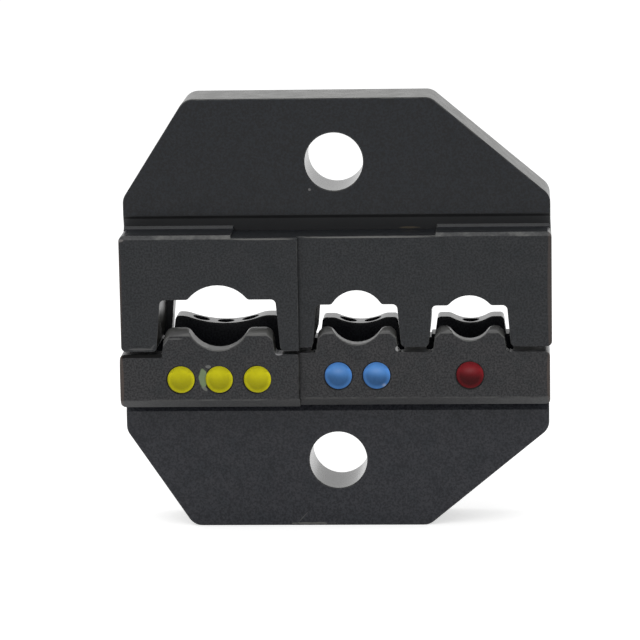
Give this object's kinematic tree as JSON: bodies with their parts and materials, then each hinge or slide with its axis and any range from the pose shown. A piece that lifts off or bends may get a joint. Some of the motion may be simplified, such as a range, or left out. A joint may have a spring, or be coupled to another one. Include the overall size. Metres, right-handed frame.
{
  "type": "crimping die",
  "caption": "Nested pair of steel crimping dies for insulated cable terminals, with colour-dotted nests and tapered wings that take the retaining screws.",
  "frame": {"origin": "middle of the pair's footprint, at the outer edge of the lower wing", "axes": "+Z from the lower to the upper die, along the closing stroke; -Y towards the face with the colour dots; +X along the jaws, from the yellow nest to the red one"},
  "size_m": [0.0428, 0.0112, 0.0434],
  "materials": {
    "black_steel": "hardened tool steel, black oxide, satin",
    "yellow_enamel": "glossy enamel",
    "blue_enamel": "glossy enamel",
    "red_enamel": "glossy enamel"
  },
  "bodies": {
    "lower": {"lower_die": "black_steel", "yellow_dot_left": "yellow_enamel", "yellow_dot_middle": "yellow_enamel", "yellow_dot_right": "yellow_enamel", "blue_dot_left": "blue_enamel", "blue_dot_right": "blue_enamel", "red_dot": "red_enamel"},
    "upper": {"upper_die": "black_steel"}
  },
  "joints": [
    {"name": "jaw_opening", "type": "slide", "parent": "lower", "child": "upper", "axis": [0, 0, 1], "range_m": [0, 0.012]}
  ]
}
